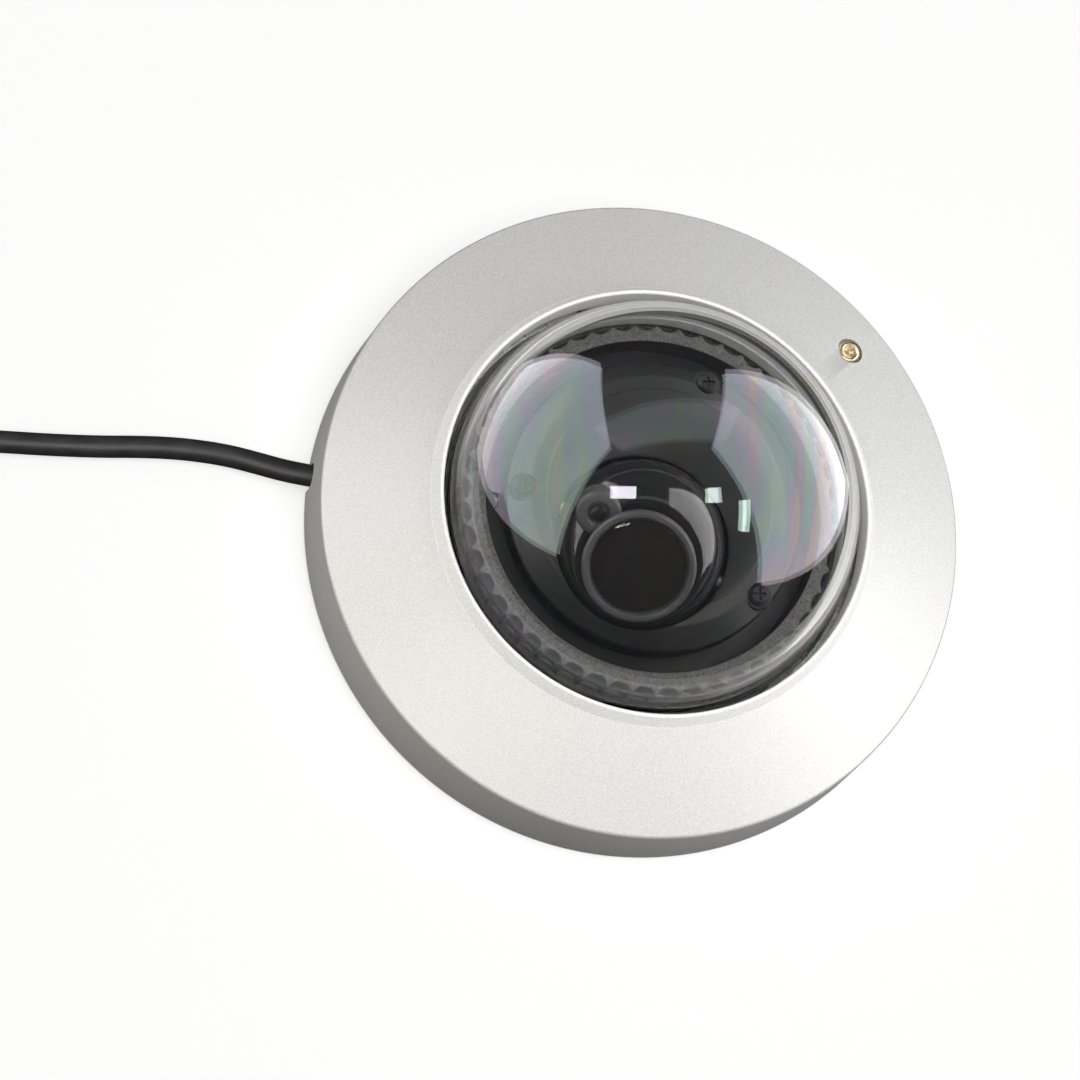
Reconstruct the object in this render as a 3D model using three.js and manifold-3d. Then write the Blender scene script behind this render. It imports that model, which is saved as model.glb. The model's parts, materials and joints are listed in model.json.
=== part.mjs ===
// Low-profile vandal-resistant dome camera, millimetres, +Z along the dome axis, back face on Z = 0.
// A cast silver cover carries the clear dome. Under it a knurled pan ring turns on a fixed bearing ring
// and carries a black liner with an eyeball lens turret. The turret tilts on two trunnion pins, the lens
// carriage rolls inside it and the bezel turns to focus. A black lead leaves through a side notch and
// ends in a modular network plug.
import * as THREE from 'three';
import { mergeVertices } from 'three/addons/utils/BufferGeometryUtils.js';
import Module from 'manifold-3d';

const wasm = await Module();
wasm.setup();

// ---- driving dimensions -------------------------------------------------------------------------
const GAP = 0.3;                       // clearance between touching pieces
const COVER = { base: 70.8, shoulder: 70, shoulderZ: 18, lipOut: 48.2, lipOutZ: 27.1,
  hole: 46, lipZ: 30.2, wall: 2.8, seatZ: 23.4, clearanceZ: 0.5 };
const DOME = { radius: 44.6, wall: 3, centreZ: 22.4, flange: 50, flangeZ: 19.5, flangeTop: 22 };
const BASE = { radius: 66.4, plate: 2.5, wall: 2.8, wallTop: 12 };
const BOARD = { z: 5.1, thick: 1.6, radius: 29 };
const PAN = { inner: 28.7, rimIn: 36.2, rim: 40.4, top: 28.8, floorZ: 22.2, bottom: 20.4, scallops: 50 };
const LINER = { radius: 32, edgeZ: 27.2, top: 31.8, hole: 18.6, thick: 1.2, skirt: 0.8,
  screwR: 28.8, screwZ: 30.4 };
const LINER_SCREWS = [70, 180, 290];   // headings measured from the lens heading
const BALL = { radius: 18.1, offset: 10.3, z: 28, cut: -9, face: 12.4, wall: 2.2 };
const LENS = { ring: 11.7, window: 9.6, back: 14.5, front: 16.8, carriage: 8.6 };
const SCREW = { radius: 60, azimuth: 39, head: 2.6, shank: 1.45, bore: 3 };
const CABLE = { diameter: 4.8, azimuth: 171.5, restZ: 2.6, exitZ: 4.6, notchTop: 7.4 };
const COIL = { x: -180, y: -14.8, middle: 26.5 };
const PAN_REST = 246;                  // heading of the lens at rest, degrees from +X
const TILT_REST = 33;                  // lens axis away from the dome axis at rest, degrees
const POSTS = [20, 140, 260];          // headings of the three bracket posts
const CLAMPS = [80, 200, 320];         // headings of the dome retainer's screws and the board's standoffs
const CLAMP_RADIUS = 54.4;
const FINE = 36;
const MEDIUM = 24;
const SMALL = 12;

const rad = THREE.MathUtils.degToRad;

// ---- solid helpers ------------------------------------------------------------------------------
// Keeps positions only, welds them, drops empty triangles and turns the faces outward.
function clean(geometry) {
  const bare = geometry.index ? geometry.toNonIndexed() : geometry.clone();
  for (const name of Object.keys(bare.attributes)) {
    if (name !== 'position') bare.deleteAttribute(name);
  }
  const welded = mergeVertices(bare, 1e-3);
  const position = welded.getAttribute('position');
  const a = new THREE.Vector3();
  const b = new THREE.Vector3();
  const c = new THREE.Vector3();
  const kept = [];
  let volume = 0;
  for (let i = 0; i < welded.index.count; i += 3) {
    const [p, q, r] = [0, 1, 2].map((k) => welded.index.getX(i + k));
    if (p === q || q === r || r === p) continue;
    a.fromBufferAttribute(position, p);
    b.fromBufferAttribute(position, q);
    c.fromBufferAttribute(position, r);
    volume += a.dot(b.cross(c));
    kept.push(p, q, r);
  }
  if (volume < 0) kept.reverse();
  welded.setIndex(kept);
  return welded;
}

function toManifold(geometry) {
  const g = clean(geometry);
  const vertProperties = new Float32Array(g.getAttribute('position').array);
  const triVerts = new Uint32Array(g.index.array);
  return new wasm.Manifold(new wasm.Mesh({ numProp: 3, vertProperties, triVerts }));
}

function fromManifold(solid) {
  const mesh = solid.getMesh();
  const geometry = new THREE.BufferGeometry();
  geometry.setAttribute('position', new THREE.BufferAttribute(mesh.vertProperties, 3));
  geometry.setIndex([...mesh.triVerts]);
  return geometry;
}

function cut(body, ...tools) {
  return fromManifold(tools.reduce((solid, tool) => solid.subtract(toManifold(tool)), toManifold(body)));
}

function join(...pieces) {
  return fromManifold(pieces.slice(1).reduce((solid, p) => solid.add(toManifold(p)), toManifold(pieces[0])));
}

function common(first, second) {
  return fromManifold(toManifold(first).intersect(toManifold(second)));
}

// Turns a closed outline of [radius, z] points about the Z axis.
function lathe(outline, segments = FINE) {
  const points = [...outline, outline[0]].map(([r, z]) => new THREE.Vector2(r, z));
  return new THREE.LatheGeometry(points, segments).rotateX(Math.PI / 2);
}

const disc = (r, z0, z1, segments = SMALL) => lathe([[0, z0], [r, z0], [r, z1], [0, z1]], segments);
const ring = (outer, inner, z0, z1, segments = FINE) => (
  lathe([[inner, z0], [outer, z0], [outer, z1], [inner, z1]], segments));
const box = (w, d, h, x, y, z) => new THREE.BoxGeometry(w, d, h).translate(x, y, z);

function plate(outline, z0, z1, curveSegments = 6) {
  const flat = new THREE.ExtrudeGeometry(outline, { depth: z1 - z0, bevelEnabled: false, curveSegments });
  return flat.translate(0, 0, z0);
}

// A stretch of round cable through the given points.
function tube(points, diameter, steps) {
  const path = new THREE.CatmullRomCurve3(points.map((p) => new THREE.Vector3(...p)));
  const section = new THREE.Shape();
  section.absarc(0, 0, diameter / 2, 0, 2 * Math.PI);
  return new THREE.ExtrudeGeometry(section, { steps, extrudePath: path, curveSegments: 4 });
}

const at = (geometry, x, y, z = 0) => geometry.translate(x, y, z);
const polar = (r, heading) => [r * Math.cos(rad(heading)), r * Math.sin(rad(heading))];
// Moves a piece built around its own Z axis out to a radius and heading, turned to face outward.
const around = (geometry, r, heading) => geometry.rotateZ(rad(heading)).translate(...polar(r, heading), 0);

// ---- materials ----------------------------------------------------------------------------------
const paint = (color, roughness, metalness) => ({ color, roughness, metalness });
const SILVER = paint(0xc9cac6, 0.42, 0.55);
const CAST = paint(0x9a9c9c, 0.55, 0.7);
const BLACK = paint(0x17181a, 0.45, 0);
const GREY_RING = paint(0x3c3d3f, 0.75, 0);
const GLOSS = paint(0x0b0b0d, 0.12, 0);
const RUBBER = paint(0x1a1a1b, 0.85, 0);
const GOLD = paint(0xc7a85a, 0.3, 1);
const STEEL = paint(0xb4b6b8, 0.3, 1);
const CLEAR = paint(0xe8ecef, 0.03, 0);
const PCB = paint(0x1e5a3a, 0.5, 0);
const CHIP = paint(0x202124, 0.5, 0);
const JACKET = paint(0x121213, 0.5, 0);

const camera = new THREE.Group();
const panGroup = new THREE.Group();
const ballGroup = new THREE.Group();
panGroup.rotation.z = rad(PAN_REST);
ballGroup.position.set(BALL.offset, 0, BALL.z);
ballGroup.rotation.y = rad(TILT_REST);
camera.add(panGroup);
panGroup.add(ballGroup);

function add(name, geometry, finish, parent = camera) {
  const mesh = new THREE.Mesh(clean(geometry), new THREE.MeshStandardMaterial(finish));
  mesh.name = name;
  parent.add(mesh);
}

// ---- cover and dome -----------------------------------------------------------------------------
function coverShell() {
  const c = COVER;
  const slope = (c.lipOutZ - c.shoulderZ) / (c.shoulder - c.lipOut);
  const faceZ = (r) => c.shoulderZ + (c.shoulder - r) * slope;
  const innerR = c.shoulder - c.wall;
  const shell = lathe([
    [c.base, c.clearanceZ], [c.shoulder, c.shoulderZ - 0.6], [c.shoulder - 0.5, c.shoulderZ + 0.2],
    [c.lipOut, c.lipOutZ], [c.hole + 0.9, c.lipZ - 0.15], [c.hole + 0.35, c.lipZ], [c.hole, c.lipZ - 0.4],
    [c.hole, c.seatZ], [DOME.flange + 1.2, c.seatZ], [DOME.flange + 1.2, c.seatZ - 1.6],
    [innerR, faceZ(innerR) - 3.2], [c.base - c.wall, c.clearanceZ]], 40);
  const [x, y] = polar(SCREW.radius, SCREW.azimuth);
  const boss = at(disc(3.6, 14, faceZ(SCREW.radius) - 1.5), x, y);
  const counterbore = at(disc(SCREW.bore, faceZ(SCREW.radius) - 2.6, 30), x, y);
  const hole = at(disc(1.8, 10, 30), x, y);
  const notch = around(box(9, 6, 2 * CABLE.notchTop, 0, 0, 0), COVER.base - 1.5, CABLE.azimuth);
  const tongue = around(box(2, 12, 12, 0, 0, 12), 61.4, SCREW.azimuth + 180);
  const pads = CLAMPS.map((h) => around(disc(2.9, 19.6, 22.6), CLAMP_RADIUS, h));
  const threads = CLAMPS.map((h) => around(disc(1.25, 15, 21.9), CLAMP_RADIUS, h));
  return cut(join(shell, boss, tongue, ...pads), counterbore, hole, notch, ...threads);
}

function domeShell() {
  const inner = DOME.radius - DOME.wall;
  const outline = [[inner, DOME.flangeZ], [DOME.flange, DOME.flangeZ], [DOME.flange, DOME.flangeTop],
    [DOME.radius, DOME.flangeTop]];
  const steps = 8;
  for (let i = 0; i <= steps; i += 1) {
    const angle = (Math.PI / 2) * (i / steps);
    outline.push([DOME.radius * Math.cos(angle), DOME.centreZ + DOME.radius * Math.sin(angle)]);
  }
  for (let i = steps; i >= 0; i -= 1) {
    const angle = (Math.PI / 2) * (i / steps);
    outline.push([inner * Math.cos(angle), DOME.centreZ + inner * Math.sin(angle)]);
  }
  outline.forEach((point) => { if (point[0] < 1e-6) point[0] = 0; });
  return lathe(outline);
}

function retainer() {
  const body = ring(51.6, 45.4, 16.6, DOME.flangeZ - GAP);
  const ears = CLAMPS.map((h) => around(box(7, 8, 2.6, 0, 0, 17.9), CLAMP_RADIUS - 1.2, h));
  const holes = CLAMPS.map((h) => around(disc(1.5, 10, 30), CLAMP_RADIUS, h));
  return cut(join(body, ...ears), ...holes);
}

add('cover', coverShell(), SILVER);
add('dome_bubble', domeShell(), CLEAR);
add('dome_gasket', ring(49.6, 46.4, DOME.flangeTop + GAP, COVER.seatZ - GAP, MEDIUM), RUBBER);
add('dome_retainer', retainer(), STEEL);
for (const [i, heading] of CLAMPS.entries()) {
  const screw = join(disc(2.5, 14.6, 16.3), disc(1.05, 16, 21.4));
  add(`retainer_screw_${i + 1}`, around(screw, CLAMP_RADIUS, heading), STEEL);
}

function securityScrew() {
  const top = COVER.shoulderZ + (COVER.shoulder - SCREW.radius) * 0.4174 - 0.6;
  const headZ = top - 1.7;
  const head = lathe([[0, headZ], [SCREW.head, headZ], [SCREW.head, top - 0.5], [SCREW.head - 0.6, top],
    [1.5, top], [1.5, top - 0.9], [0, top - 0.9]], SMALL);
  return join(head, disc(SCREW.shank, 5, headZ + 0.2), disc(0.5, top - 1.1, top - 0.2, 8));
}
add('cover_screw', at(securityScrew(), ...polar(SCREW.radius, SCREW.azimuth)), GOLD);
add('screw_keeper', at(ring(3.2, 1.8, 12.9, 13.6, SMALL), ...polar(SCREW.radius, SCREW.azimuth)), STEEL);

// ---- base ---------------------------------------------------------------------------------------
function baseHousing() {
  const pan = lathe([[0, 0], [BASE.radius, 0], [BASE.radius, BASE.wallTop],
    [BASE.radius - BASE.wall, BASE.wallTop], [BASE.radius - BASE.wall, BASE.plate], [0, BASE.plate]]);
  const boss = at(disc(3.6, 1, 12.3), ...polar(SCREW.radius, SCREW.azimuth));
  const lug = around(box(3, 16, 8, 0, 0, 5), 58.2, SCREW.azimuth + 180);
  const glandHeight = BASE.wallTop - 1;
  const glandBlock = around(box(4, 12, glandHeight, 0, 0, 1 + glandHeight / 2), 62.4, CABLE.azimuth);
  const channel = around(box(25, 9.6, 9.6, 0, 0, 5.3), 47.9, CABLE.azimuth);
  const bore = at(disc(2.2, 3, 13), ...polar(SCREW.radius, SCREW.azimuth));
  const mountHoles = [84, 204, 324].map((h) => around(disc(2.3, -1, 5), 50, h));
  const cableHole = disc(9, -1, 5);
  const gland = new THREE.CylinderGeometry(3.5, 3.5, 14, SMALL).rotateZ(Math.PI / 2);
  return cut(join(pan, boss, lug, glandBlock), channel, bore, cableHole, ...mountHoles,
    around(gland.translate(0, 0, CABLE.exitZ), 63, CABLE.azimuth));
}
add('base_housing', baseHousing(), CAST);
add('cover_seal', ring(66, 64.4, BASE.wallTop + GAP, BASE.wallTop + 2.6, MEDIUM), RUBBER);
add('screw_insert', at(ring(1.95, 1.65, 3.4, 12, SMALL), ...polar(SCREW.radius, SCREW.azimuth)), GOLD);

// Side gland: a rubber grommet held in the wall with a tapered boot on the inner side.
function cableGland() {
  const bore = CABLE.diameter / 2 + GAP;
  const profile = [[bore, -24], [bore + 0.5, -24], [3.2, -6.2], [3.7, -6], [3.7, -3.8], [3, -3.6], [3, 3.6],
    [bore, 3.6]];
  const gland = lathe(profile, SMALL).rotateY(Math.PI / 2).translate(0, 0, CABLE.exitZ);
  return around(gland, 63.6, CABLE.azimuth);
}
add('cable_gland', cableGland(), RUBBER);

add('main_board', cut(disc(BOARD.radius, BOARD.z, BOARD.z + BOARD.thick, MEDIUM),
  ...CLAMPS.map((h) => around(disc(1.6, 0, 10), 25, h)), disc(4, 0, 10)), PCB);
for (const [i, heading] of CLAMPS.entries()) {
  const standoff = disc(2.6, BASE.plate + GAP, BOARD.z - GAP, 10);
  add(`board_standoff_${i + 1}`, around(standoff, 25, heading), GOLD);
}
add('processor', box(13, 13, 1.4, 12, 12, BOARD.z + BOARD.thick + GAP + 0.7), CHIP);
add('memory_chip', box(9, 7, 1.1, -9, 15, BOARD.z + BOARD.thick + GAP + 0.55), CHIP);

// Crescent service board outside the bearing ring, reached when the cover is off.
function serviceBoard() {
  const outline = new THREE.Shape();
  outline.absarc(0, 0, 56, rad(-62), rad(18), false);
  outline.absarc(0, 0, 44, rad(18), rad(-62), true);
  return plate(outline, BOARD.z, BOARD.z + BOARD.thick, 12);
}
const SERVICE_TOP = BOARD.z + BOARD.thick + GAP;
add('service_board', serviceBoard(), PCB);
for (const [i, heading] of [-56, 12].entries()) {
  const standoff = disc(2.6, BASE.plate + GAP, BOARD.z - GAP, 10);
  add(`service_standoff_${i + 1}`, around(standoff, 50, heading), GOLD);
}
add('lead_connector', around(box(7.6, 10, 6, 0, 0, 6), 34.4, CABLE.azimuth), STEEL);
const cardCage = box(12, 14, 2.4, 0, 0, SERVICE_TOP + 1.2);
const cardMouth = box(11, 11.4, 1, 1.5, 0, SERVICE_TOP + 1.2);
add('card_slot', around(cut(cardCage, cardMouth), 50, -45), STEEL);
const switchBody = box(6, 6, 3.4, 0, 0, SERVICE_TOP + 1.7);
add('reset_switch', around(cut(switchBody, disc(1.9, SERVICE_TOP + 1.2, 20)), 50, -3), CHIP);
const buttonStem = disc(1.55, SERVICE_TOP + 2.2, SERVICE_TOP + 5.2);
const buttonCap = disc(1.2, SERVICE_TOP + 5, SERVICE_TOP + 5.6);
add('reset_button', around(join(buttonStem, buttonCap), 50, -3), BLACK);

// ---- pan bearing and pan assembly ---------------------------------------------------------------
const BEARING = { outer: 39.4, inner: 29.2, z: 16.4, top: 20.1 };
function bearingRing() {
  const b = BEARING;
  return lathe([[b.inner, b.z], [b.outer, b.z], [b.outer, b.top - 1], [36.4, b.top - 1], [36.4, b.top],
    [32.6, b.top], [32.6, b.top - 1], [b.inner, b.top - 1]]);
}
add('pan_bearing', bearingRing(), CAST);
for (const [i, heading] of POSTS.entries()) {
  const foot = join(disc(2.8, BASE.plate + GAP, BEARING.z - GAP, 12), disc(4, BASE.plate + GAP, 4.4, 12));
  add(`bearing_post_${i + 1}`, around(foot, 34.6, heading), STEEL);
}

// Scalloped hand grip around the pan ring, with a floor inside it for the liner.
function panRing() {
  const outline = new THREE.Shape();
  const perScallop = 3;
  const count = PAN.scallops * perScallop;
  const depth = 1.3;
  for (let i = 0; i <= count; i += 1) {
    const phase = (i % perScallop) / perScallop;
    const r = PAN.rim - depth * (1 - Math.sin(Math.PI * phase)) * (phase === 0 ? 1 : 0.25);
    const angle = (2 * Math.PI * i) / count;
    const [x, y] = [r * Math.cos(angle), r * Math.sin(angle)];
    if (i === 0) outline.moveTo(x, y);
    else outline.lineTo(x, y);
  }
  const grip = plate(outline, PAN.bottom, PAN.top);
  return cut(grip, disc(PAN.rimIn, PAN.floorZ, 40, FINE), disc(PAN.inner, 0, 40, FINE));
}
add('pan_ring', panRing(), GREY_RING, panGroup);

function liner() {
  const t = LINER.thick;
  const r = LINER.radius;
  const shell = lathe([
    [r - LINER.skirt, PAN.floorZ + GAP], [r, PAN.floorZ + GAP], [r, LINER.edgeZ],
    [r - 1.2, LINER.edgeZ + 1.3], [r - 5, LINER.top - 0.5], [r - 9, LINER.top],
    [0, LINER.top], [0, LINER.top - t], [r - 9, LINER.top - t],
    [r - 5.4, LINER.top - t - 0.5], [r - LINER.skirt, LINER.edgeZ + 0.4]], FINE);
  const opening = at(disc(LINER.hole, 0, 60, MEDIUM), BALL.offset, 0);
  const seats = LINER_SCREWS.map((h) => around(disc(2.9, 27.9, LINER.screwZ, 12), LINER.screwR, h));
  const holes = LINER_SCREWS.map((h) => around(disc(1.4, 0, 60, 8), LINER.screwR, h));
  const sinks = LINER_SCREWS.map((h) => around(disc(2.6, LINER.screwZ, 60, 12), LINER.screwR, h));
  return cut(join(shell, ...seats), opening, ...holes, ...sinks);
}
add('liner', liner(), BLACK, panGroup);
for (const [i, heading] of LINER_SCREWS.entries()) {
  const head = disc(2.2, LINER.screwZ + GAP / 3, LINER.screwZ + 1.2, 12);
  const screw = join(head, disc(1.05, 24.6, LINER.screwZ + 0.3, 10));
  add(`liner_screw_${i + 1}`, around(screw, LINER.screwR, heading), STEEL, panGroup);
}
const linerPost = cut(disc(2.1, PAN.floorZ + GAP, 27.2, 12), disc(1.35, 24, 40, 10));
add('liner_post', around(linerPost, LINER.screwR, 180), BLACK, panGroup);

// Trunnion blocks: an open saddle for each tilt pin and a threaded boss for a liner screw.
for (const [name, side, heading] of [['left', 1, LINER_SCREWS[0]], ['right', -1, LINER_SCREWS[2]]]) {
  const saddle = box(5, 3, 6.3, BALL.offset, side * 22.4, 26.05);
  const arm = box(5, 7.4, 1.8, BALL.offset, side * 24.4, 23.6);
  const boss = around(disc(2.1, PAN.floorZ + GAP, 27.2, 12), LINER.screwR, heading);
  const pinHole = new THREE.CylinderGeometry(1.9, 1.9, 8, 12).translate(BALL.offset, side * 22.4, BALL.z);
  const thread = around(disc(1.35, 24, 40, 10), LINER.screwR, heading);
  add(`trunnion_${name}`, cut(join(saddle, arm, boss), pinHole, thread), CAST, panGroup);
}

// ---- eyeball turret -----------------------------------------------------------------------------
// Hollow spherical zone between two heights on the lens axis.
function ballShell(from, to) {
  const inner = BALL.radius - BALL.wall;
  const steps = 5;
  const arc = (radius, i) => {
    const start = Math.asin(from / radius);
    const angle = start + ((Math.asin(to / radius) - start) * i) / steps;
    return [radius * Math.cos(angle), radius * Math.sin(angle)];
  };
  const outline = [];
  for (let i = 0; i <= steps; i += 1) outline.push(arc(BALL.radius, i));
  for (let i = steps; i >= 0; i -= 1) outline.push(arc(inner, i));
  return lathe(outline, MEDIUM);
}
// Front half of the eyeball: a zone closed by a flat face with a round opening for the lens.
function turretFront() {
  const faceOut = Math.sqrt(BALL.radius ** 2 - BALL.face ** 2);
  const face = ring(faceOut - 0.02, LENS.carriage + 0.4, BALL.face - 2, BALL.face, MEDIUM);
  return cut(join(ballShell(GAP / 2, BALL.face), face), pinBore());
}
const pinBore = () => new THREE.CylinderGeometry(1.9, 1.9, 60, 12);
add('turret_front', turretFront(), GLOSS, ballGroup);
add('turret_rear', cut(ballShell(BALL.cut, -GAP / 2), pinBore()), BLACK, ballGroup);
for (const [name, side] of [['left', 1], ['right', -1]]) {
  const pin = new THREE.CylinderGeometry(1.6, 1.6, 6.6, 12).translate(0, side * 20.2, 0);
  add(`tilt_pin_${name}`, pin, STEEL, ballGroup);
}

const SENSOR = { radius: 13.3, heading: 243.6, pod: 4.3, top: 14.2 };
function sensorPod() {
  const pod = lathe([[0, 8], [SENSOR.pod, 8], [SENSOR.pod, SENSOR.top - 0.7], [SENSOR.pod - 0.7, SENSOR.top],
    [0, SENSOR.top]], 20);
  const ball = common(new THREE.SphereGeometry(BALL.radius + 0.5, 24, 16), disc(40, -40, BALL.face + GAP));
  const [x, y] = polar(SENSOR.radius, SENSOR.heading);
  return cut(at(pod, x, y), ball, at(disc(1.9, SENSOR.top - 1.1, 20), x, y));
}
add('light_sensor_pod', sensorPod(), BLACK, ballGroup);
const bead = lathe([[0, -0.8], [1.6, -0.8], [1.6, -0.3], [1.1, 0], [0, 0.2]], SMALL);
add('light_sensor_lens', at(bead, ...polar(SENSOR.radius, SENSOR.heading), SENSOR.top), CLEAR, ballGroup);

// Lens carriage: barrel in the turret's front opening with the image board behind it.
const holder = join(ring(LENS.carriage, 7.4, -2.4, LENS.back - GAP, 24), ring(11.4, 7.4, -2.4, 0.4, 24));
add('lens_carriage', holder, BLACK, ballGroup);
add('image_board', cut(box(19, 19, 1.2, 0, 0, -4.2), disc(0.8, -9, 0, 8)), PCB, ballGroup);
add('image_sensor', box(9, 8, 0.8, 0, 0, -2.9), CHIP, ballGroup);
function focusRing() {
  const { ring: outer, window: lip, back, front } = LENS;
  return lathe([[7.6, back], [outer, back + 0.5], [outer, front - 0.6], [outer - 0.5, front],
    [lip + 0.3, front], [lip + 0.3, front - 1.5], [7.6, front - 1.9]], MEDIUM);
}
add('focus_ring', focusRing(), GREY_RING, ballGroup);
const frontLens = lathe([[0, 13.4], [6.6, 13.7], [7.2, 15.25], [LENS.window, 15.6], [LENS.window, 15.9],
  [7, 16.7], [4, 17.3], [0, 17.6]], 24);
add('front_lens', frontLens, CLEAR, ballGroup);
const barrel = lathe([[0, -1.6], [7.1, -1.6], [7.1, 11.6], [5.6, 13], [0, 13]], 24);
add('lens_barrel', barrel, BLACK, ballGroup);

// ---- lead ---------------------------------------------------------------------------------------
const LEAD_START = [[-38.8, 5.8, CABLE.exitZ], [-48.4, 7.2, CABLE.exitZ], [-57.2, 8.5, CABLE.exitZ],
  [-64.5, 9.6, CABLE.exitZ], [-70.5, 10.6, 4.4], [-75.6, 11.8, 3.5], [-80.8, 13.3, 2.8],
  [-87.2, 14.8, CABLE.restZ], [-93.9, 15.7, CABLE.restZ], [-100.3, 16.1, CABLE.restZ],
  [-107, 16.1, CABLE.restZ], [-114, 15.9, CABLE.restZ], [-124, 15.9, CABLE.restZ],
  [-136, 16.2, CABLE.restZ], [-148, 16.5, CABLE.restZ], [-160.4, 16.5, CABLE.restZ]];
const LEAD_TAIL = [[-209, -36.6, 5.6], [-209, -41, 4.6], [-208.8, -46, 3.2], [-208.4, -51, 2.7],
  [-208, -56, CABLE.restZ], [-207.6, -62, CABLE.restZ]];
add('cable', tube(LEAD_START, CABLE.diameter, 26), JACKET);
const half = COIL.middle;
add('cable_coil', at(lathe([[half - 7.2, 0.2], [half + 7.2, 0.2], [half + 7.2, 5], [half + 4.8, 9.3],
  [half - 4.8, 9.3], [half - 7.2, 5]], MEDIUM), COIL.x, COIL.y), JACKET);
add('cable_tail', tube(LEAD_TAIL, CABLE.diameter, 8), JACKET);

function coilTie() {
  const outer = box(17.4, 7, 9.9, half, 0, 5.3);
  const inner = box(16, 20, 9.6, half, 0, 4.8);
  return around(cut(outer, inner), 0, 90).translate(COIL.x, COIL.y, 0);
}
add('coil_tie', coilTie(), RUBBER);

// Modular plug lying flat beyond the tail, nose along -Y.
const PLUG = { x: -207.4, y: -62.6, body: 21, width: 11.7, height: 8 };
function plugBoot() {
  const along = lathe([[0, 0], [3.1, 0], [4.2, 13.4], [0, 13.4]], SMALL).rotateX(Math.PI / 2);
  return common(along.translate(PLUG.x, PLUG.y, 4.1), box(40, 80, 8, PLUG.x, PLUG.y, 4.2));
}
function plugBody() {
  const y = PLUG.y - 13.7 - PLUG.body / 2;
  const body = box(PLUG.width, PLUG.body, PLUG.height, PLUG.x, y, PLUG.height / 2 + 0.2);
  const slots = [];
  for (let i = 0; i < 8; i += 1) {
    slots.push(box(0.55, 5, 1.6, PLUG.x - 3.57 + 1.02 * i, y - PLUG.body / 2 + 2, 0.4));
  }
  return cut(body, ...slots);
}
function plugLatch() {
  const y = PLUG.y - 13.7 - PLUG.body + 8;
  return box(5.6, 14, 1.1, PLUG.x, y, PLUG.height + 0.2 + GAP + 0.55);
}
add('plug_boot', plugBoot(), RUBBER);
add('plug_body', plugBody(), CLEAR);
add('plug_latch', plugLatch(), CLEAR);

export default camera;
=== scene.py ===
"""Looks of a compact vandal-resistant dome camera, built round its CAD frame.

Metres, +Z along the dome axis, back face on Z = 0. Each piece is modelled where the CAD node that it
stands for lies, rides on that node's body and has a procedural material.
"""
import json
import math

import bmesh
import bpy
from mathutils import Matrix, Vector


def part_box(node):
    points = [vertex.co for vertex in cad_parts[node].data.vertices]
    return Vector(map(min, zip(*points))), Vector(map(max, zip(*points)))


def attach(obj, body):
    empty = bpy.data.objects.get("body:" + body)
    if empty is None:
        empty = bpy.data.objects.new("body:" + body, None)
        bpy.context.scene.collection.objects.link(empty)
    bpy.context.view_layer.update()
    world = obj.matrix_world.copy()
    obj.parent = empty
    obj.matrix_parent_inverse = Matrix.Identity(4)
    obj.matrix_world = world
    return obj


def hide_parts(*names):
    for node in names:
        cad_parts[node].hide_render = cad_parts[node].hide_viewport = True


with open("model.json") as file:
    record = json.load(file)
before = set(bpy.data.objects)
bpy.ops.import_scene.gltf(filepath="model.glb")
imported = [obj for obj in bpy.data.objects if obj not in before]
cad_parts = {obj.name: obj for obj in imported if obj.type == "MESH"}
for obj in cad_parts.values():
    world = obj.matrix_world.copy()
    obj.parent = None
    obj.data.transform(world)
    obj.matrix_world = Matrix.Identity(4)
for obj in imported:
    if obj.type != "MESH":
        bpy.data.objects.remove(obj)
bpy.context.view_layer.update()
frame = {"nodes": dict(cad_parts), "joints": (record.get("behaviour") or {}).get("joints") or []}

MM = 0.001
JOINTS = {joint["name"]: joint for joint in frame["joints"]}
BALL = Vector(JOINTS["tilt"]["pos_m"])
LENS_AXIS = Vector(JOINTS["roll"]["axis"]).normalized()
TILT_AXIS = Vector(JOINTS["tilt"]["axis"]).normalized()
PAN_HEADING = math.atan2(LENS_AXIS.y, LENS_AXIS.x)

# Local frames in which the moving pieces are drawn, millimetres in and metres out.
ROOT_FRAME = Matrix.Scale(MM, 4)
PAN_FRAME = Matrix.Rotation(PAN_HEADING, 4, "Z") @ ROOT_FRAME
BALL_FRAME = Matrix((LENS_AXIS.cross(TILT_AXIS) * -1, TILT_AXIS, LENS_AXIS)).transposed().to_4x4()
BALL_FRAME = Matrix.Translation(BALL) @ BALL_FRAME @ ROOT_FRAME

# Driving sizes in millimetres, from the CAD boxes.
COVER_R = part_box("cover")[1].x / MM
LIP_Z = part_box("cover")[1].z / MM
DOME_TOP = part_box("dome_bubble")[1].z / MM
SHOULDER_R = COVER_R - 0.8
SHOULDER_Z = 18.0
LIP_OUT_R = 48.2
LIP_OUT_Z = 27.1
HOLE_R = 46.0
DOME_R = 44.6
DOME_WALL = 3.0
DOME_CENTRE = DOME_TOP - DOME_R
FACE_SLOPE = (LIP_OUT_Z - SHOULDER_Z) / (SHOULDER_R - LIP_OUT_R)
SCREW = (60, 39.0)
CABLE_AZIMUTH = 171.5
RETAINER_HEADINGS = (80.0, 200.0, 320.0)
RETAINER_SCREW_R = 54.4


# ---- mesh helpers -------------------------------------------------------------------------------
def polar(radius, heading):
    return radius * math.cos(math.radians(heading)), radius * math.sin(math.radians(heading))


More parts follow.
